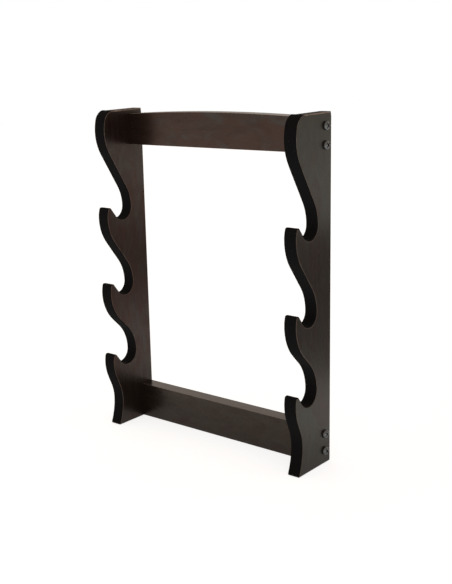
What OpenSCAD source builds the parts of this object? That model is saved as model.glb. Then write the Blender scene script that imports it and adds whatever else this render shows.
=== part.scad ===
// Three-tier wall rack: two curved side boards joined by two cross rails,
// felt on the front edge of each board, hung from two keyhole plates.
// X runs across the width, the wall is the plane Y = 0 with the front
// towards -Y, and the feet stand on the plane Z = 0.

/* [Overall] */
// Outer width across both side boards
rack_w = 343; // [260:1:420]
// Height of the side boards at the wall
board_h = 466; // [463:0.5:470]
// Thickness of the side boards
board_t = 18; // [15:0.5:22]

/* [Hooks] */
// Height of the lowest cradle's bottom above the feet
cradle_z = 90.5; // [89:0.5:92]
// Distance from the lowest cradle up to the middle one
lower_pitch = 106.5; // [105:0.5:109]
// Distance from the middle cradle up to the highest one
upper_pitch = 111.5; // [109.5:0.5:112.5]
// Distance from the wall to the back of the two lower cradles
cradle_back = 32.1; // [31.1:0.1:33.1]
// Distance from the wall to the back of the highest cradle
upper_cradle_back = 29.6; // [28.5:0.1:31]
// Distance from the wall to the board's front at its top nose
nose_reach = 77.4; // [76.4:0.1:78.4]
// How much further each nose reaches than the one above it
nose_flare = 1; // [0.2:0.1:1.3]
// Height of a hook's tip above its cradle's bottom
tip_rise = 19.1; // [18:0.1:20]

/* [Rails] */
// Thickness of the lower rail
lower_rail_t = 21; // [18:0.5:24]
// Height of the lower rail
lower_rail_h = 51; // [46:1:56]
// Thickness of the upper rail
upper_rail_t = 26; // [24:0.5:30]
// Underside of the upper rail above the feet
upper_rail_z = 415.5; // [412:0.5:418]
// Top of the upper rail at its two ends, above the feet
upper_rail_end_z = 459; // [456:0.5:461]
// Rise of the upper rail's crowned top at mid width
crown_rise = 4.2; // [2:0.2:6]

/* [Felt] */
// Thickness of the felt strips
felt_t = 1.2; // [0.8:0.1:2]
// Bare wood left on each side of a felt strip
felt_margin = 0.3; // [0.1:0.1:1]

/* [Fixings] */
// Distance of the assembly screws from the wall
screw_y = 13; // [10:0.5:14.5]
// Distance between the two screws of one joint
screw_pitch = 24; // [18:1:28]
// Diameter of a screw's pan head
head_d = 11.6; // [9:0.1:12.6]
// Height of a screw's pan head
head_h = 4.2; // [3.4:0.1:4.8]
// Length of a screw's shank below the head
shank_l = 50; // [35:1:60]
// Distance between the two keyhole plates' centres
hanger_span = 200; // [120:10:240]

/* [Hidden] */

rail_l = rack_w - 2 * board_t;
rail_x = rail_l / 2;

// Outline: a fair curve of arcs, shared by the boards and the felt
hooks = 3;
convex_r = 60.4;
concave_r = 54.7;
tip_front_r = 38;
tip_corner_r = 1.5;
tip_inner_r = 1.2;
tip_flat = 2.2;
lip_r = 19;
lip_lean = 38;
nose_rise = 5.2;
nose_rise_step = 1.4;
top_slope = 0.8;
top_nose_z = board_h - 29.7;
top_corner_r = 18;
top_corner_z = board_h - 18.9;
top_front_r = 59.5;
waist_z = 39;
waist_y = 65.1;
foot_r = 95;
foot_gap = 1.5;
crown_steps = 24;
arc_step = 6;
min_edge = 0.05;
felt_top_a = 104;

// How far a cut runs past the face it opens
cut_over = 1;

// Screw fit
head_round = 3.2;
shank_d = 4.8;
thread_d = 4.2;
thread_pitch = 2.4;
thread_crest = 5.4;
thread_root = 0.3;
thread_l = 30;
point_l = 5;
point_r = 0.4;
pilot_d = 5.8;
point_room = 2;
recess_w = 1.7;
recess_l = 7.4;
recess_h = 2.4;
recess_turns = [45, 135];
top_screw_z = (upper_rail_z + upper_rail_end_z) / 2;
bottom_screw_z = 30;

// Keyhole plates
plate_w = 40;
plate_h = 16;
plate_t = 1.6;
keyhole_d = 9;
keyslot_d = 4.5;
keyslot_rise = 5;
pocket_d = keyhole_d + 1.5;
plate_gap = 0.2;
plate_set = 0.1;
plate_z = 437;
plate_screw_x = 14.5;
plate_screw_d = 3;
plate_screw_l = 14;
plate_head_d = 5.6;
plate_head_h = 1.4;
sink_gap = 0.25;
plate_recess = [3, 0.7, 1];
head_room = 9;

function on_circle(c, r, a) = [c[0] + r * cos(a), c[1] + r * sin(a)];

// Points along an arc from angle a0 to angle a1, ends included
function arc(c, r, a0, a1) =
    let (n = max(1, ceil(abs(a1 - a0) / arc_step)))
    [for (i = [0 : n]) on_circle(c, r, a0 + (a1 - a0) * i / n)];

// Lean from the vertical of the line that joins a convex arc, which starts
// upright at nose n, to a concave arc, which ends upright at point b
function sweep_lean(n, b, r1, r2) =
    let (a = b[0] - r2 - n[0] - r1, h = n[1] - b[1])
    atan2(h, -a) - acos((r1 + r2) / norm([a, h]));

// Front edge from nose n down to point b, moved outwards by d
function sweep(n, b, r1, r2, d) =
    let (lean = sweep_lean(n, b, r1, r2))
    concat(
        arc([n[0] + r1, n[1]], r1 + d, 180, 180 + lean),
        arc([b[0] - r2, b[1]], r2 - d, lean, 0)
    );

// Hook 0 is the highest; nose 0 is the board's own front above it
function cradle_floor(k) = cradle_z + (k < 2 ? lower_pitch : 0) + (k < 1 ? upper_pitch : 0);
function back_of(k) = k == 0 ? upper_cradle_back : cradle_back;
function nose_y(k) = -nose_reach - nose_flare * k;
function nose(k) = k == 0
    ? [nose_y(0), top_nose_z]
    : [nose_y(k), cradle_floor(k - 1) + nose_rise + nose_rise_step * (k - 1)];

// Centre and lean of the tip's front corner on hook k
function tip_lean(k) =
    asin((cradle_floor(k) + tip_rise - tip_corner_r - nose(k + 1)[1]) / (tip_front_r - tip_corner_r));
function tip_front(k) =
    on_circle([nose_y(k + 1) + tip_front_r, nose(k + 1)[1]], tip_front_r - tip_corner_r, 180 - tip_lean(k));

// Centre of the tip's inner corner, and of the arc at the foot of the lip
function tip_inner(k) = [tip_front(k)[0] + tip_flat, cradle_floor(k) + tip_rise - tip_inner_r];
function lip(k) =
    let (
        z = cradle_floor(k) + lip_r,
        climb = tip_inner(k)[1] - z + lip_r * sin(lip_lean)
    )
    [tip_inner(k)[0] + tip_inner_r / cos(lip_lean) + climb * tan(lip_lean) + lip_r * cos(lip_lean), z];

// The cradle's back arc meets the lip's arc at the cradle's lowest point
function cradle_r(k) = -lip(k)[0] - back_of(k);
function cradle_top(k) = [-back_of(k), cradle_floor(k) + cradle_r(k)];

// Cradle and tip of hook k, from the back of the cradle to the nose
function hook(k, d) = concat(
    arc([lip(k)[0], cradle_top(k)[1]], cradle_r(k) - d, 0, -90),
    arc(lip(k), lip_r - d, -90, -180 + lip_lean),
    arc(tip_inner(k), tip_inner_r + d, lip_lean, 90),
    arc(tip_front(k), tip_corner_r + d, 90, 180 - tip_lean(k)),
    arc([nose_y(k + 1) + tip_front_r, nose(k + 1)[1]], tip_front_r + d, 180 - tip_lean(k), 180)
);

// Rounded top corner down to the first nose, from angle a0
function top_corner(d, a0) =
    let (
        c2 = [nose_y(0) + top_front_r, top_nose_z],
        lean = asin((top_corner_z - c2[1]) / (top_front_r - top_corner_r)),
        c1 = on_circle(c2, top_front_r - top_corner_r, 180 - lean)
    )
    concat(arc(c1, top_corner_r + d, a0, 180 - lean), arc(c2, top_front_r + d, 180 - lean, 180));

// Front edge below the last hook, down to height z
function foot(d, z) = concat(
    sweep(nose(hooks), [-waist_y, waist_z], convex_r, concave_r, d),
    arc([-waist_y - foot_r, waist_z], foot_r - d, 0, -asin((waist_z - z) / (foot_r - d)))
);

// An outline without the doubled points where two arcs meet
function single(pts) =
    [for (i = [0 : len(pts) - 1])
        if (i == 0 || norm(pts[i] - pts[i - 1]) > min_edge) pts[i]];

// Whole front edge from angle a0 of the top corner down to height z, moved outwards by d
function front_edge(d, a0, z) = single(concat(
    top_corner(d, a0),
    [for (k = [0 : hooks - 1])
        for (p = concat(sweep(nose(k), cradle_top(k), convex_r, concave_r, d), hook(k, d))) p],
    foot(d, z)
));

// Stands an outline drawn in Y and Z up, starting at x and t thick
module upright(x, t) {
    translate([x, 0, 0])
        rotate([90, 0, 90])
            linear_extrude(height = t)
                children();
}

module board_blank(x) {
    upright(x, board_t)
        polygon(concat([[0, 0], [0, board_h]], front_edge(0, 90 - top_slope, 0)));
}

// Runs its children at the left board's four screw places, pointing to +X from its outer face
module each_screw() {
    for (joint_z = [top_screw_z, bottom_screw_z])
        for (rise = [-screw_pitch / 2, screw_pitch / 2])
            translate([-rack_w / 2, -screw_y, joint_z + rise])
                rotate([0, 90, 0])
                    children();
}

module left_board_solid() {
    difference() {
        board_blank(-rack_w / 2);
        each_screw()
            translate([0, 0, -cut_over])
                cylinder(d = pilot_d, h = board_t + 2 * cut_over, $fn = 32);
    }
}

module left_side_board() {
    color("#3a322d")
        left_board_solid();
}

module right_side_board() {
    color("#3a322d")
        mirror([1, 0, 0])
            left_board_solid();
}

// Holes in the rail ends for the threaded part of the screws
module rail_pilots() {
    for (side = [0, 1])
        mirror([side, 0, 0])
            each_screw()
                cylinder(d = pilot_d, h = shank_l + point_room, $fn = 32);
}

module lower_rail() {
    color("#362e2a")
        difference() {
            translate([-rail_x, -lower_rail_t, 0])
                cube([rail_l, lower_rail_t, lower_rail_h]);
            rail_pilots();
        }
}

// Upper rail seen from the front: straight underside and a crowned top
module upper_rail_outline() {
    crown_r = (rail_x * rail_x + crown_rise * crown_rise) / (2 * crown_rise);
    crown_c = [0, upper_rail_end_z + crown_rise - crown_r];
    half = asin(rail_x / crown_r);
    polygon(concat(
        [[-rail_x, upper_rail_z], [rail_x, upper_rail_z]],
        [for (i = [0 : crown_steps])
            on_circle(crown_c, crown_r, 90 - half + 2 * half * i / crown_steps)]
    ));
}

// Pocket for one plate, with room behind it for the head of a wall screw
module plate_pocket() {
    translate([-plate_w / 2, -plate_t, -plate_h / 2])
        cube([plate_w, plate_t + cut_over, plate_h]);
    for (z = [-keyslot_rise / 2, keyslot_rise / 2])
        translate([0, 0, z])
            rotate([90, 0, 0])
                cylinder(d = pocket_d, h = head_room, $fn = 48);
    translate([-pocket_d / 2, -head_room, -keyslot_rise / 2])
        cube([pocket_d, head_room, keyslot_rise]);
    for (x = [-plate_screw_x, plate_screw_x])
        translate([x, 0, 0])
            rotate([90, 0, 0])
                cylinder(d = plate_screw_d + 2 * plate_gap, h = plate_screw_l + cut_over, $fn = 32);
}

module at_plate(side) {
    translate([side * hanger_span / 2, 0, plate_z])
        children();
}

module upper_rail() {
    color("#362e2a")
        difference() {
            rotate([90, 0, 0])
                linear_extrude(height = upper_rail_t)
                    upper_rail_outline();
            rail_pilots();
            for (side = [-1, 1])
                at_plate(side)
                    plate_pocket();
        }
}

module felt_strip(x) {
    glued = front_edge(0, felt_top_a, foot_gap);
    color("#121212")
        upright(x, board_t - 2 * felt_margin)
            polygon(concat(
                front_edge(felt_t, felt_top_a, foot_gap),
                [for (i = [len(glued) - 1 : -1 : 0]) glued[i]]
            ));
}

module left_felt_strip() {
    felt_strip(-rack_w / 2 + felt_margin);
}

module right_felt_strip() {
    felt_strip(rack_w / 2 - board_t + felt_margin);
}

// Pan-head screw along +Z with the underside of its head at Z = 0
module assembly_screw() {
    rim = head_d / 2 - head_round;
    tooth = (thread_crest - thread_d) / 2;
    color("#2b2b2d")
        difference() {
            rotate_extrude($fn = 64)
                polygon(concat(
                    [[0, -head_h]],
                    arc([rim, head_round - head_h], head_round, -90, 0),
                    [[head_d / 2, 0], [shank_d / 2, 0], [shank_d / 2, shank_l - thread_l]],
                    [for (z = [shank_l - thread_l : thread_pitch : shank_l - point_l])
                        for (p = [
                            [thread_d / 2, z + thread_root],
                            [thread_d / 2 + tooth, z + thread_pitch / 2],
                            [thread_d / 2, z + thread_pitch - thread_root]
                        ]) p],
                    [[point_r, shank_l], [0, shank_l]]
                ));
            for (turn = recess_turns)
                rotate([0, 0, turn])
                    translate([-recess_l / 2, -recess_w / 2, -head_h - cut_over])
                        cube([recess_l, recess_w, recess_h + cut_over]);
        }
}

// Four screws through each side board into the ends of the rails
module side_screws() {
    for (side = [0, 1])
        mirror([side, 0, 0])
            each_screw()
                assembly_screw();
}

// Keyhole plate: the wide hole passes a screw head and the slot above holds it
module keyhole_plate() {
    color("#8f9092")
        difference() {
            translate([-plate_w / 2 + plate_gap, -plate_t, -plate_h / 2 + plate_gap])
                cube([plate_w - 2 * plate_gap, plate_t - plate_set, plate_h - 2 * plate_gap]);
            translate([0, cut_over, -keyslot_rise / 2])
                rotate([90, 0, 0])
                    cylinder(d = keyhole_d, h = plate_t + 2 * cut_over, $fn = 48);
            translate([0, cut_over, keyslot_rise / 2])
                rotate([90, 0, 0])
                    cylinder(d = keyslot_d, h = plate_t + 2 * cut_over, $fn = 48);
            translate([-keyslot_d / 2, -plate_t - cut_over, -keyslot_rise / 2])
                cube([keyslot_d, plate_t + 2 * cut_over, keyslot_rise]);
            for (x = [-plate_screw_x, plate_screw_x])
                translate([x, 0, 0])
                    rotate([-90, 0, 0])
                        plate_screw_hole();
        }
}

// Countersunk hole through a plate, opening towards +Z
module plate_screw_hole() {
    wide = 2 * sink_gap;
    translate([0, 0, -plate_t - cut_over])
        cylinder(d = plate_screw_d + wide, h = plate_t + 2 * cut_over, $fn = 32);
    translate([0, 0, -plate_head_h - plate_set])
        cylinder(d1 = plate_screw_d + wide, d2 = plate_head_d + wide, h = plate_head_h + plate_set, $fn = 32);
}

// Countersunk screw driven into the rail along -Y
module plate_screw() {
    color("#9a9b9d")
        rotate([-90, 0, 0])
            difference() {
                union() {
                    translate([0, 0, -plate_head_h - plate_set])
                        cylinder(d1 = plate_screw_d, d2 = plate_head_d, h = plate_head_h, $fn = 32);
                    translate([0, 0, -plate_screw_l])
                        cylinder(d = plate_screw_d, h = plate_screw_l - plate_head_h, $fn = 32);
                }
                for (turn = [0, 90])
                    rotate([0, 0, turn])
                        translate([-plate_recess[0] / 2, -plate_recess[1] / 2, -plate_recess[2]])
                            cube([plate_recess[0], plate_recess[1], plate_recess[2] + cut_over]);
            }
}

module left_keyhole_plate() {
    at_plate(-1) keyhole_plate();
}

module right_keyhole_plate() {
    at_plate(1) keyhole_plate();
}

// Two screws through each keyhole plate
module plate_screws() {
    for (side = [-1, 1])
        at_plate(side)
            for (x = [-plate_screw_x, plate_screw_x])
                translate([x, 0, 0])
                    plate_screw();
}

left_side_board();
right_side_board();
upper_rail();
lower_rail();
left_felt_strip();
right_felt_strip();
side_screws();
left_keyhole_plate();
right_keyhole_plate();
plate_screws();
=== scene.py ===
"""Looks for the three-tier wall rack: stained wood boards and rails, black felt, steel screws.

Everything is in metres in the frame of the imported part: X across, the wall at Y = 0 with the
hooks towards -Y, Z up from the feet.
"""
import math

import bmesh
import bpy
import numpy as np
from mathutils import Matrix, Vector, noise


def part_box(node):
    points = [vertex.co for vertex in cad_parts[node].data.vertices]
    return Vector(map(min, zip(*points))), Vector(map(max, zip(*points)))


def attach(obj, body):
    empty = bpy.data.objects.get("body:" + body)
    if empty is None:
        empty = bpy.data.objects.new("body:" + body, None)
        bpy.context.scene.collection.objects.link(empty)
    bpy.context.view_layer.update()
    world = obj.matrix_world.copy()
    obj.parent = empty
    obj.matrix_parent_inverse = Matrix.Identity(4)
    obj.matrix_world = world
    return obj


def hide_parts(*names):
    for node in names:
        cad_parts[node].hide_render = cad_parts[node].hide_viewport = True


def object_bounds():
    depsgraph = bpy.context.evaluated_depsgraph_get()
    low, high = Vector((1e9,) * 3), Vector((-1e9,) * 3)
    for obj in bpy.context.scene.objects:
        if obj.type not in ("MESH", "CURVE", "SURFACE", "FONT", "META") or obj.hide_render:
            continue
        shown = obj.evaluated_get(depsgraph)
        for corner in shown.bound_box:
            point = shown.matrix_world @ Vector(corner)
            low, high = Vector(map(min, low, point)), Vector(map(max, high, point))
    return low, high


MM = 0.001

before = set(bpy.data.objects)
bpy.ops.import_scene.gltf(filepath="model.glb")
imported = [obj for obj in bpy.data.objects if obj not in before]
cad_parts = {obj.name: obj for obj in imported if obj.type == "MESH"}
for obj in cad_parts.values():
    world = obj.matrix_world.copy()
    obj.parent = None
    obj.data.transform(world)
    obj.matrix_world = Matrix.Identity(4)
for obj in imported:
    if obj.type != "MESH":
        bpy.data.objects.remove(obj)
cad_lo, cad_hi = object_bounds()

BOARDS = ("left_side_board", "right_side_board")
FELTS = ("left_felt_strip", "right_felt_strip")
RAILS = ("upper_rail", "lower_rail")
PLATES = ("left_keyhole_plate", "right_keyhole_plate")

# Round-over of the long edges: a board's felted edges, its bare top, and the rails
EASE_BOARD = 0.9 * MM
EASE_TOP = 2.0 * MM
EASE_RAIL = 0.35 * MM
EASE_STEPS = 5

# Where a board's bare top begins, behind its nose and below its top, and how far it fades in
BARE_FROM = 17 * MM
BARE_FADE = 8 * MM
TOP_FROM = 6 * MM
TOP_FADE = 4 * MM

# Stretch over which a rail's round-over dies out at its ends, and the share left there
END_FADE = 3 * MM
END_SHARE = 0.1

# Spacing of the mesh points along the outlines, and the stretches too short to fair
WOOD_STEP = 2.0 * MM
FELT_STEP = 1.0 * MM
FELT_ACROSS = 18
SHORT = 0.6 * MM

# Turn in degrees above which an outline's corner stays square
SHARP_TURN = 25

# Height of the felt's fluff and of its slow waves, and how far both are set in
FLUFF = 0.10 * MM
WAVE = 0.08 * MM
NAP = 0.12 * MM

# Beds of the keyhole plates, and the room behind each for a wall screw's head
PLATE_GAP = 0.2 * MM
ROOM_WIDTH = 10.5 * MM
ROOM_RISE = 5.0 * MM
ROOM_DEPTH = 9.0 * MM
CUT_OVER = 1.0 * MM

# Stain in the grain's dark and light parts, and a pale colour on the rounded edges that is partly bare
# wood worn through and partly a painted highlight
DARK = (0.0055, 0.0036, 0.0030)
LIGHT = (0.0130, 0.0080, 0.0062)
WORN_AND_HIGHLIGHT = (0.30, 0.225, 0.19)

# Tint of the light that falls on the rack, and how far the floor lies under its feet
WARM_LIGHT = (1.0, 0.88, 0.78)
FLOOR_GAP = 0.5 * MM


# ---------------------------------------------------------------- outlines

def welded(node):
    """The CAD node's mesh as a bmesh with its split vertices joined again."""
    bm = bmesh.new()
    bm.from_mesh(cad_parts[node].data)
    bmesh.ops.remove_doubles(bm, verts=bm.verts, dist=0.01 * MM)
    return bm


def cad_outline(node, axis):
    """The node's outline on its lowest face across axis, as points in the other two axes, in order."""
    bm = welded(node)
    low = min(v.co[axis] for v in bm.verts)
    flat = {f for f in bm.faces if all(abs(v.co[axis] - low) < 0.02 * MM for v in f.verts)}
    rim = [e for e in bm.edges if sum(f in flat for f in e.link_faces) == 1]
    near = {}
    for e in rim:
        a, b = e.verts
        near.setdefault(a, []).append(b)
        near.setdefault(b, []).append(a)
    loops = []
    left = dict.fromkeys(near)
    while left:
        loop = []
        here = next(iter(left))
        while here is not None:
            del left[here]
            loop.append(here)
            here = next((v for v in near[here] if v in left), None)
        loops.append(loop)
    keep = [i for i in range(3) if i != axis]
    sized = [np.array([[v.co[keep[0]], v.co[keep[1]]] for v in loop]) for loop in loops]
    bm.free()
    outline = max(sized, key=lambda p: float(np.prod(np.ptp(p, axis=0))))
    return outline if area(outline) > 0 else outline[::-1]


def area(pts):
    """Signed area of a closed outline, positive when it runs counter-clockwise."""
    nxt = np.roll(pts, -1, axis=0)
    return 0.5 * float(np.sum(pts[:, 0] * nxt[:, 1] - nxt[:, 0] * pts[:, 1]))


def turns(pts):
    """Turn at each point of a closed outline, in degrees."""
    back = pts - np.roll(pts, 1, axis=0)
    ahead = np.roll(pts, -1, axis=0) - pts
    cross = back[:, 0] * ahead[:, 1] - back[:, 1] * ahead[:, 0]
    return np.degrees(np.arctan2(cross, np.sum(back * ahead, axis=1)))


def finer(pts, step, closed=True):
    """The outline with points no further apart than step, and a flag on each old point."""
    out, old = [], []
    count = len(pts) if closed else len(pts) - 1
    for i in range(count):
        a, b = pts[i], pts[(i + 1) % len(pts)]
        parts = max(1, math.ceil(float(np.linalg.norm(b - a)) / step))
        for k in range(parts):
            out.append(a + (b - a) * k / parts)
            old.append(i if k == 0 else -1)
    if not closed:
        out.append(pts[-1])
        old.append(len(pts) - 1)
    return np.array(out), np.array(old)


def faired(pts, fixed, passes, closed=True):
    """Rounds the facets of an outline, leaving the fixed points and the shortest stretches alone."""
    pts = pts.copy()
    span = np.linalg.norm(np.roll(pts, -1, axis=0) - pts, axis=1)
    fixed = fixed | (span < SHORT) | (np.roll(span, 1) < SHORT)
    for _ in range(passes):
        mid = (np.roll(pts, 1, axis=0) + 2 * pts + np.roll(pts, -1, axis=0)) / 4
        if not closed:
            mid[0], mid[-1] = pts[0], pts[-1]
        mid[fixed] = pts[fixed]
        pts = mid
    return pts


def fair_outline(node, axis, step):
    """A node's outline, refined and faired, with its square corners kept."""
    raw = cad_outline(node, axis)
    sharp = np.abs(turns(raw)) > SHARP_TURN
    fine, old = finer(raw, step)
    fixed = np.array([i >= 0 and sharp[i] for i in old])
    return faired(fine, fixed, 4)


def inward(pts, distance):
    """A counter-clockwise closed outline moved inwards by distance."""
    back = pts - np.roll(pts, 1, axis=0)
    ahead = np.roll(pts, -1, axis=0) - pts
    n1 = np.stack([-back[:, 1], back[:, 0]], 1) / np.linalg.norm(back, axis=1)[:, None]
    n2 = np.stack([-ahead[:, 1], ahead[:, 0]], 1) / np.linalg.norm(ahead, axis=1)[:, None]
    mid = n1 + n2
    mid /= np.linalg.norm(mid, axis=1)[:, None]
    stretch = np.clip(np.sum(mid * n1, axis=1), 0.5, 1)
    return pts + mid * (distance / stretch)[:, None]


# ---------------------------------------------------------------- meshes

def new_piece(name, bm, material):
    """Turns a bmesh into a piece of the object that rides on the root body."""
    bmesh.ops.recalc_face_normals(bm, faces=bm.faces)
    mesh = bpy.data.meshes.new(name)
    bm.to_mesh(mesh)
    bm.free()
    mesh.materials.append(material)
    piece = bpy.data.objects.new(name, mesh)
    bpy.context.scene.collection.objects.link(piece)
    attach(piece, "root")
    return piece


def placed(axis, along, point):
    """A 3-D point from its place along axis and its two other coordinates."""
    co = [point[0], point[1]]
    co.insert(axis, along)
    return Vector(co)


def board_ease(outline):
    """Round-over of a board's long edges: slight along the felt, fuller along the bare top."""
    y, z = outline[:, 0], outline[:, 1]
    bare = np.clip((y - y.min() - BARE_FROM) / BARE_FADE, 0, 1)
    high = np.clip((z - z.max() + TOP_FROM) / TOP_FADE, 0, 1)
    return EASE_BOARD + (EASE_TOP - EASE_BOARD) * bare * high


def rail_ease(outline):
    """Round-over of a rail's long edges, dying out where its ends meet the boards."""
    x = outline[:, 0]
    return EASE_RAIL * np.clip((x.max() - np.abs(x)) / END_FADE, END_SHARE, 1)


def eased_slab(node, axis, ease_of, step):
    """A slab with the CAD node's outline and thickness and all its long edges rounded over."""
    lo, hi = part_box(node)
    outline = fair_outline(node, axis, step)
    ease = ease_of(outline)
    # The pale edge line, partly worn wood and partly a painted highlight, is strongest where the
    # round-over is fullest
    worn_and_lit_share = ease / ease.max()
    bm = bmesh.new()
    wear_and_highlight = bm.verts.layers.float.new("wear_and_highlight")
    rows = []
    for side in (0, 1):
        angles = [math.pi / 2 * i / EASE_STEPS for i in range(EASE_STEPS + 1)]
        for a in (angles if side == 0 else angles[::-1]):
            depth = ease * (1 - math.cos(a))
            along = lo[axis] + depth if side == 0 else hi[axis] - depth
            # Share of the pale edge colour across the round-over, strongest towards the broad face: partly
            # worn wood and partly a painted highlight
            worn_and_lit = math.sin(2 * a) if a < math.pi / 4 else math.sin(2 * a) ** 3
            pts = inward(outline, ease * (1 - math.sin(a)))
            row = [bm.verts.new(placed(axis, x, p)) for x, p in zip(along, pts)]
            for v, share in zip(row, worn_and_lit_share):
                v[wear_and_highlight] = worn_and_lit * share
            rows.append(row)
    n = len(outline)
    for k, (r0, r1) in enumerate(zip(rows, rows[1:])):
        for i in range(n):
            j = (i + 1) % n
            face = bm.faces.new((r0[i], r0[j], r1[j], r1[i]))
            face.smooth = k != EASE_STEPS
    for row in (rows[0], rows[-1]):
        bm.faces.new(row)
    return bm


def wood_slab(node, axis, ease_of, material):
    """The visible wood of one board or rail, in place of its CAD node."""
    piece = new_piece(node.replace("_side", "_wood").replace("rail", "rail_wood"),
                      eased_slab(node, axis, ease_of, WOOD_STEP), material)
    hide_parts(node)
    return piece


def slot_outline(centre, width, straight):
    """Upright slot with round ends, as points in X and Z."""
    ends = ((0, straight / 2), (180, -straight / 2))
    return [(centre.x + width / 2 * math.cos(math.radians(turn + 15 * i)),
             centre.z + rise + width / 2 * math.sin(math.radians(turn + 15 * i)))
            for turn, rise in ends for i in range(13)]


def box_outline(lo, hi):
    """Upright rectangle as points in X and Z."""
    return [(lo.x, lo.z), (hi.x, lo.z), (hi.x, hi.z), (lo.x, hi.z)]


def prisms(outlines, front, back):
    """Closed prisms on outlines in X and Z, from the depth front to the depth back."""
    bm = bmesh.new()
    for outline in outlines:
        near = [bm.verts.new((x, front, z)) for x, z in outline]
        far = [bm.verts.new((x, back, z)) for x, z in outline]
        bm.faces.new(near)
        bm.faces.new(far)
        for i in range(len(outline)):
            j = (i + 1) % len(outline)
            bm.faces.new((near[i], near[j], far[j], far[i]))
    bmesh.ops.recalc_face_normals(bm, faces=bm.faces)
    return bm


def carve(piece, bm):
    """Cuts the closed solids in bm out of a piece."""
    mesh = bpy.data.meshes.new("cutter")
    bm.to_mesh(mesh)
    bm.free()
    cutter = bpy.data.objects.new("cutter", mesh)
    bpy.context.scene.collection.objects.link(cutter)
    cut = piece.modifiers.new("cut", "BOOLEAN")
    cut.solver = "EXACT"
    cut.object = cutter
    shaped = piece.evaluated_get(bpy.context.evaluated_depsgraph_get())
    result = bpy.data.meshes.new_from_object(shaped)
    piece.modifiers.clear()
    piece.data = result
    bpy.data.objects.remove(cutter)


def plate_pockets(rail):
    """Lets the keyhole plates into the rail's back, with room for a screw head behind each."""
    boxes = [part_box(node) for node in PLATES]
    margin = Vector((PLATE_GAP, 0, PLATE_GAP))
    beds = [box_outline(lo - margin, hi + margin) for lo, hi in boxes]
    rooms = [slot_outline((lo + hi) / 2, ROOM_WIDTH, ROOM_RISE) for lo, hi in boxes]
    bed_floor = boxes[0][0].y
    behind = cad_hi.y + CUT_OVER
    carve(rail, prisms(beds, bed_floor, behind))
    carve(rail, prisms(rooms, cad_hi.y - ROOM_DEPTH, behind))


def gap_to(outline, point):
    """Distance from a point to the nearest stretch of a closed outline."""
    ahead = np.roll(outline, -1, axis=0) - outline
    along = np.sum((point - outline) * ahead, axis=1) / np.maximum(np.sum(ahead * ahead, axis=1), 1e-18)
    foot = outline + ahead * np.clip(along, 0, 1)[:, None]
    return float(np.min(np.linalg.norm(foot - point, axis=1)))


def felt_path(felt_node, board_node):
    """The felt's outer line from its top end to the foot, and the felt's thickness."""
    wood = cad_outline(board_node, 0)
    loop = cad_outline(felt_node, 0)
    gap = np.array([gap_to(wood, p) for p in loop])
    thick = float(np.median(gap[gap > 0.3 * MM]))
    outer = gap > 0.5 * thick
    start = next(i for i in range(len(loop)) if outer[i] and not outer[i - 1])
    path = [loop[(start + k) % len(loop)] for k in range(len(loop)) if outer[(start + k) % len(loop)]]
    path = np.array(path)
    if path[0][1] < path[-1][1]:
        path = path[::-1]
    fine, _ = finer(path, FELT_STEP, closed=False)
    ends = np.zeros(len(fine), bool)
    ends[[0, -1]] = True
    return faired(fine, ends, 3, closed=False), thick


def felt_section(width, thick):
    """Cross-section of the felt as (across, out) pairs: soft shoulders and a slightly crowned top."""
    soft = 0.42 * thick
    side = [(0.0, -thick), (0.0, -0.75 * thick)]
    for i in range(5):
        a = math.pi / 2 * i / 4
        side.append((soft * (1 - math.cos(a)), -soft * (1 - math.sin(a))))
    across = [(soft + (width - 2 * soft) * i / FELT_ACROSS, 0.0) for i in range(1, FELT_ACROSS)]
    return side + across + [(width - x, out) for x, out in reversed(side)]


def felt_piece(felt_node, board_node, material):
    """Pressed felt glued along the board's front edge, with its fluffy surface in the mesh."""
    path, thick = felt_path(felt_node, board_node)
    lo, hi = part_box(felt_node)
    section = felt_section(hi.x - lo.x, thick)
    tangent = np.gradient(path, axis=0)
    tangent /= np.linalg.norm(tangent, axis=1)[:, None]
    out = np.stack([tangent[:, 1], -tangent[:, 0]], 1)
    if out[0][1] < 0:
        out = -out
    bm = bmesh.new()
    rows = []
    for p, n in zip(path, out):
        row = []
        for across, level in section:
            co = Vector((lo.x + across, p[0] + n[0] * level, p[1] + n[1] * level))
            if level > -0.5 * thick:
                fluff = noise.fractal(co * 900, 0.6, 2.0, 3) * FLUFF
                wave = noise.noise(co * 70) * WAVE
                co += Vector((0, n[0], n[1])) * (fluff + wave - NAP)
            row.append(bm.verts.new(co))
        rows.append(row)
    m = len(section)
    for r0, r1 in zip(rows, rows[1:]):
        for i in range(m):
            j = (i + 1) % m
            face = bm.faces.new((r0[i], r0[j], r1[j], r1[i]))
            face.smooth = True
    bm.faces.new(rows[0])
    bm.faces.new(rows[-1])
    piece = new_piece(felt_node.replace("_strip", ""), bm, material)
    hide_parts(felt_node)
    return piece


# ---------------------------------------------------------------- material helpers

def fill_ramp(ramp, stops):
    """Sets a ramp's stops, each a place and either a grey level or a colour."""
    while len(ramp.elements) < len(stops):
        ramp.elements.new(0.5)
    for element, (at, colour) in zip(ramp.elements, stops):
        if isinstance(colour, (int, float)):
            colour = (colour,) * 3
        element.position = at
        element.color = (*colour, 1.0)


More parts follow.
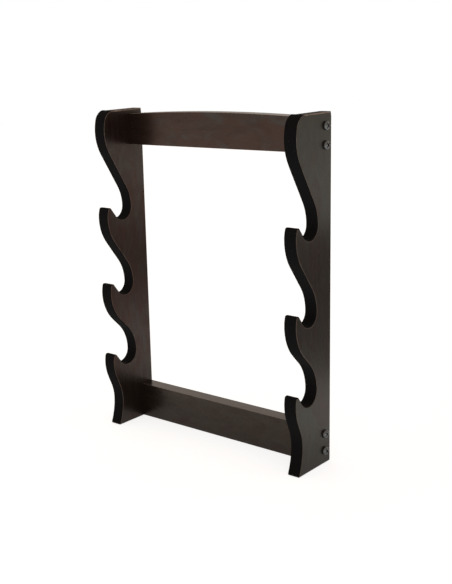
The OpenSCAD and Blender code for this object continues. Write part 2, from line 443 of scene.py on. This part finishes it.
class Nodes:
    """Short calls for building a node material."""

    def __init__(self, name):
        self.material = bpy.data.materials.new(name)
        self.material.use_nodes = True
        self.tree = self.material.node_tree
        self.bsdf = self.tree.nodes["Principled BSDF"]

    def new(self, kind, **values):
        node = self.tree.nodes.new(kind)
        for key, value in values.items():
            setattr(node, key, value)
        return node

    def link(self, source, target):
        self.tree.links.new(source, target)

    def place(self, scale):
        """Object coordinates in metres, multiplied by scale along each axis."""
        coord = self.new("ShaderNodeTexCoord")
        mapping = self.new("ShaderNodeMapping")
        mapping.inputs["Scale"].default_value = scale
        self.link(coord.outputs["Object"], mapping.inputs["Vector"])
        return mapping.outputs["Vector"]

    def noise(self, scale, detail, rough, distortion=0.0):
        """Cloudy noise whose scale is one number or one for each axis."""
        node = self.new("ShaderNodeTexNoise")
        node.inputs["Scale"].default_value = 1.0
        node.inputs["Detail"].default_value = detail
        node.inputs["Roughness"].default_value = rough
        node.inputs["Distortion"].default_value = distortion
        axes = (scale,) * 3 if isinstance(scale, float) else scale
        self.link(self.place(axes), node.inputs["Vector"])
        return node.outputs["Fac"]

    def ramp(self, value, stops):
        node = self.new("ShaderNodeValToRGB")
        fill_ramp(node.color_ramp, stops)
        self.link(value, node.inputs["Fac"])
        return node.outputs["Color"]

    def math(self, operation, a, b=0.5, clamp=False):
        node = self.new("ShaderNodeMath", operation=operation, use_clamp=clamp)
        for socket, value in zip(node.inputs, (a, b)):
            if isinstance(value, (int, float)):
                socket.default_value = value
            else:
                self.link(value, socket)
        return node.outputs["Value"]

    def mix(self, factor, a, b):
        node = self.new("ShaderNodeMix", data_type="RGBA")
        for socket, value in zip((node.inputs[0], node.inputs[6], node.inputs[7]), (factor, a, b)):
            if isinstance(value, (int, float)):
                socket.default_value = value
            elif isinstance(value, tuple):
                socket.default_value = (*value, 1.0)
            else:
                self.link(value, socket)
        return node.outputs[2]

    def attribute(self, name):
        node = self.new("ShaderNodeAttribute", attribute_name=name)
        return node.outputs["Fac"]

    def bump(self, height, strength, distance):
        node = self.new("ShaderNodeBump")
        node.inputs["Strength"].default_value = strength
        node.inputs["Distance"].default_value = distance
        self.link(height, node.inputs["Height"])
        return node.outputs["Normal"]

    def set(self, **values):
        for key, value in values.items():
            socket = self.bsdf.inputs[key.replace("_", " ")]
            if isinstance(value, (int, float, tuple)):
                socket.default_value = value
            else:
                self.link(value, socket)


def along_grain(axis, across, along):
    """Scale of a wood texture: coarse along the grain axis and fine across it."""
    scale = [across] * 3
    scale[axis] = along
    return scale


def dimmed(colour, share):
    """A colour at a share of its brightness."""
    return tuple(share * c for c in colour)


def lacquer_tint(n, axis, streak, warm, cool, red_at):
    """Tint of the lacquer's sheen: warm near the height red_at, cool away from it, and cloudy."""
    split = n.new("ShaderNodeSeparateXYZ")
    n.link(n.place((1.0, 1.0, 1.0)), split.inputs["Vector"])
    away = n.math("ABSOLUTE", n.math("SUBTRACT", split.outputs["Z"], red_at))
    away = n.math("MULTIPLY", away, 1.4, clamp=True)
    broad = n.noise(along_grain(axis, 40.0, 20.0), detail=4.0, rough=0.55, distortion=0.8)
    broad = n.math("ADD", n.math("MULTIPLY", broad, 1.4), n.math("SUBTRACT", away, 0.35))
    tint = n.mix(n.ramp(broad, [(0.36, 0.0), (0.62, 1.0)]), warm, cool)
    blotch = n.noise(along_grain(axis, 62.0, 24.0), detail=5.0, rough=0.6, distortion=1.2)
    tint = n.mix(n.ramp(blotch, [(0.42, 0.0), (0.70, 0.55)]), tint, dimmed(warm, 0.55))
    return n.mix(n.math("MULTIPLY", streak, 0.25), tint, dimmed(warm, 0.60))


def stain(n, streak, fine, pores):
    """Colour of the stained wood, with dark pores and a pale line on the rounded edges that is partly
    worn-through bare wood and partly a painted highlight.
    """
    colour = n.ramp(streak, [(0.25, DARK), (0.75, LIGHT)])
    colour = n.mix(n.math("MULTIPLY", fine, 0.30), colour, dimmed(DARK, 0.50))
    colour = n.mix(n.math("MULTIPLY", pores, 0.35), colour, dimmed(DARK, 0.30))
    # Noise breaks up the pale edge line, which is partly worn wood and partly a painted highlight
    worn_and_lit = n.noise(160.0, detail=4.0, rough=0.6)
    wear_and_highlight = n.math("MULTIPLY", n.attribute("wear_and_highlight"), n.ramp(worn_and_lit, [(0.30, 0.25), (0.62, 0.9)]))
    return n.mix(wear_and_highlight, colour, WORN_AND_HIGHLIGHT)


def lacquer_roughness(n, axis, streak, pores):
    """Satin on the long grain, a little rougher in the pores and dull on the end grain."""
    rough = n.math("ADD", n.math("MULTIPLY", streak, 0.08), 0.24)
    rough = n.math("ADD", rough, n.math("MULTIPLY", pores, 0.08))
    facing = n.new("ShaderNodeSeparateXYZ")
    n.link(n.new("ShaderNodeTexCoord").outputs["Normal"], facing.inputs["Vector"])
    end_grain = n.ramp(n.math("ABSOLUTE", facing.outputs[axis]), [(0.70, 0.0), (0.97, 1.0)])
    return n.math("ADD", rough, n.math("MULTIPLY", end_grain, 0.45))


def stained_wood(name, axis, index, warm, cool, red_at):
    """Dark stained hardwood under satin lacquer, with its grain along the given axis."""
    n = Nodes(name)
    streak = n.noise(along_grain(axis, 190.0, 5.0), detail=6.0, rough=0.62, distortion=0.4)
    fine = n.noise(along_grain(axis, 900.0, 26.0), detail=3.0, rough=0.6)
    pores = n.ramp(n.noise(along_grain(axis, 1500.0, 75.0), detail=1.0, rough=0.4),
                   [(0.60, 0.0), (0.68, 1.0)])
    height = n.math("ADD", n.math("MULTIPLY", fine, 0.6), n.math("MULTIPLY", pores, -1.0))
    height = n.math("ADD", height, n.math("MULTIPLY", streak, 0.8))
    n.set(Base_Color=stain(n, streak, fine, pores),
          Roughness=lacquer_roughness(n, axis, streak, pores),
          Normal=n.bump(height, 0.12, 0.08 * MM),
          IOR=index,
          Specular_Tint=lacquer_tint(n, axis, streak, warm, cool, red_at))
    return n.material


def black_felt():
    """Pressed black felt: matted fibres, faint lint and a soft sheen."""
    n = Nodes("black_felt")
    mat = n.noise(1500.0, detail=5.0, rough=0.7)
    clump = n.noise(260.0, detail=4.0, rough=0.6, distortion=0.8)
    colour = n.ramp(mat, [(0.35, (0.0022, 0.0022, 0.0024)), (0.70, (0.0085, 0.0083, 0.0085))])
    colour = n.mix(n.math("MULTIPLY", clump, 0.45), colour, (0.0030, 0.0029, 0.0031))
    lint = n.noise(620.0, detail=1.0, rough=0.3)
    colour = n.mix(n.ramp(lint, [(0.74, 0.0), (0.78, 0.6)]), colour, (0.03, 0.03, 0.031))
    height = n.math("ADD", mat, n.math("MULTIPLY", clump, 0.8))
    normal = n.bump(height, 0.8, 0.25 * MM)
    n.set(Base_Color=colour, Roughness=1.0, Normal=normal, Specular_IOR_Level=0.05,
          Sheen_Weight=0.03, Sheen_Roughness=0.6, Sheen_Tint=(0.5, 0.5, 0.5, 1.0))
    return n.material


def plated_steel(name, colour, roughness):
    """Turned and plated steel with fine scratches and a cloudy finish."""
    n = Nodes(name)
    cloud = n.noise(420.0, detail=4.0, rough=0.6)
    scratch = n.noise((300.0, 2600.0, 2600.0), detail=3.0, rough=0.6)
    shade = n.mix(n.math("MULTIPLY", cloud, 0.5), colour, dimmed(colour, 0.6))
    rough = n.math("ADD", n.math("MULTIPLY", cloud, 0.18), roughness)
    normal = n.bump(scratch, 0.25, 0.05 * MM)
    n.set(Base_Color=shade, Metallic=1.0, Roughness=rough, Normal=normal)
    return n.material


# ---------------------------------------------------------------- fasteners

def finish_steel(node, material, edge):
    """Gives a CAD fastener its material, broken edges and smooth turned faces."""
    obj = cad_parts[node]
    obj.data.materials.clear()
    obj.data.materials.append(material)
    weld = obj.modifiers.new("weld", "WELD")
    weld.merge_threshold = 0.005 * MM
    bevel = obj.modifiers.new("broken_edges", "BEVEL")
    bevel.limit_method = "ANGLE"
    bevel.angle_limit = math.radians(38)
    bevel.width = edge
    bevel.segments = 2
    obj.data.shade_smooth()


# ---------------------------------------------------------------- stage

def sheet(name, corners, material):
    """A flat four-cornered piece of the studio."""
    mesh = bpy.data.meshes.new(name)
    mesh.from_pydata(corners, [], [(0, 1, 2, 3)])
    mesh.materials.append(material)
    obj = bpy.data.objects.new(name, mesh)
    bpy.context.scene.collection.objects.link(obj)
    return obj


def pale_floor(z):
    """Wide white floor just under the feet, which lights the rack by its emission; the camera sees it
    evenly white, and the light it gives the rack is dimmed close beside the feet as a painted shadow.
    """
    n = Nodes("pale_floor")
    flat = n.place((1 / 0.30, 1 / 0.22, 0.0))
    away = n.new("ShaderNodeVectorMath", operation="LENGTH")
    n.link(flat, away.inputs[0])
    # Painted shadow: the floor's emission that lights the rack is dimmed close around the feet, hidden
    # from the camera
    near = n.ramp(n.math("MULTIPLY", away.outputs["Value"], 0.5), [(0.34, 0.55), (0.48, 0.97), (1.0, 1.0)])
    seen = n.new("ShaderNodeLightPath")
    emission_with_painted_shadow = n.mix(seen.outputs["Is Camera Ray"], near, (1.0, 1.0, 1.0))
    n.set(Base_Color=(0.45, 0.45, 0.45, 1.0), Roughness=0.9, Specular_IOR_Level=0.1,
          Emission_Color=emission_with_painted_shadow, Emission_Strength=0.80)
    sheet("floor", [(-6, -6, z), (6, -6, z), (6, 6, z), (-6, 6, z)], n.material)


def dark_card(name, centre, aim, width, height):
    """A low dark card, hidden from the camera, that leaves a dark band in the lacquer's reflections."""
    n = Nodes(name)
    n.set(Base_Color=(0.40, 0.40, 0.40, 1.0), Roughness=0.9)
    ahead = (Vector(aim) - Vector(centre)).normalized()
    side = Vector((-ahead.y, ahead.x, 0)) * width / 2
    foot = Vector((*centre[:2], 0.0))
    top = Vector((0, 0, height))
    card = sheet(name, [foot - side, foot + side, foot + side + top, foot - side + top], n.material)
    card.visible_camera = False


def white_world():
    """White backdrop, with a warm light on the rack that is strongest a little above the horizon."""
    world = bpy.data.worlds.new("white_studio")
    bpy.context.scene.world = world
    world.use_nodes = True
    tree = world.node_tree
    back = tree.nodes["Background"]
    coord = tree.nodes.new("ShaderNodeTexCoord")
    split = tree.nodes.new("ShaderNodeSeparateXYZ")
    tree.links.new(coord.outputs["Generated"], split.inputs["Vector"])
    ramp = tree.nodes.new("ShaderNodeValToRGB")
    levels = [(0.0, 0.60), (0.08, 0.45), (0.28, 0.93), (0.60, 0.60), (1.0, 0.50)]
    fill_ramp(ramp.color_ramp, [(at, dimmed(WARM_LIGHT, level)) for at, level in levels])
    tree.links.new(split.outputs["Z"], ramp.inputs["Fac"])
    seen = tree.nodes.new("ShaderNodeLightPath")
    mix = tree.nodes.new("ShaderNodeMix")
    mix.data_type = "RGBA"
    tree.links.new(seen.outputs["Is Camera Ray"], mix.inputs[0])
    tree.links.new(ramp.outputs["Color"], mix.inputs[6])
    mix.inputs[7].default_value = (1.0, 1.0, 1.0, 1.0)
    tree.links.new(mix.outputs[2], back.inputs["Color"])


def camera():
    """The product view from the right front, a little above."""
    data = bpy.data.cameras.new("camera")
    cam = bpy.data.objects.new("camera", data)
    bpy.context.scene.collection.objects.link(cam)
    bpy.context.scene.camera = cam
    data.sensor_width = 36.0
    data.lens = 60.28
    data.shift_x = 0.0214
    data.shift_y = 0.0080
    cam.location = (0.8406, -1.0510, 0.5345)
    yaw, pitch, roll = (math.radians(a) for a in (39.516, 13.753, -1.388))
    ahead = Vector((-math.sin(yaw) * math.cos(pitch), math.cos(yaw) * math.cos(pitch), -math.sin(pitch)))
    right = Vector((math.cos(yaw), math.sin(yaw), 0.0))
    up = right.cross(ahead)
    side = right * math.cos(roll) + up * math.sin(roll)
    top = side.cross(ahead)
    cam.rotation_mode = "QUATERNION"
    cam.rotation_quaternion = Matrix((side, top, -ahead)).transposed().to_quaternion()
    data.clip_start = 0.05
    data.clip_end = 50.0


# ---------------------------------------------------------------- build

left_wood = stained_wood("left_board_wood", 2, 1.55, (1.0, 0.52, 0.40), (0.97, 0.80, 0.68), 0.24)
right_wood = stained_wood("right_board_wood", 2, 1.43, (1.0, 0.70, 0.50), (0.95, 1.0, 0.76), 0.19)
rail_wood = stained_wood("rail_wood", 0, 1.66, (1.0, 0.63, 0.51), (0.97, 0.86, 0.78), 0.42)
low_rail_wood = stained_wood("low_rail_wood", 0, 1.56, (1.0, 0.64, 0.50), (0.98, 0.84, 0.70), 0.30)
felt = black_felt()
black_steel = plated_steel("black_steel", (0.15, 0.155, 0.155), 0.18)
zinc_steel = plated_steel("zinc_steel", (0.55, 0.55, 0.57), 0.30)

for board, wood in zip(BOARDS, (left_wood, right_wood)):
    wood_slab(board, 0, board_ease, wood)
rails = [wood_slab(rail, 1, rail_ease, wood)
         for rail, wood in zip(RAILS, (rail_wood, low_rail_wood))]
plate_pockets(rails[0])
for strip, board in zip(FELTS, BOARDS):
    felt_piece(strip, board, felt)
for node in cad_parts:
    if node == "side_screws":
        finish_steel(node, black_steel, 0.12 * MM)
    elif "plate" in node:
        finish_steel(node, zinc_steel, 0.08 * MM)

# The studio: the cards stand to the right of the rack, a wide one and a small one close by
pale_floor(cad_lo.z - FLOOR_GAP)
dark_card("flag", (0.44, 0.42, 0), (0, 0, 0), 0.9, 0.20)
dark_card("near_flag", (0.385, 0.296, 0), (0.1715, -0.03, 0), 0.18, 0.262)
white_world()
camera()
bpy.context.scene.view_settings.view_transform = "Standard"
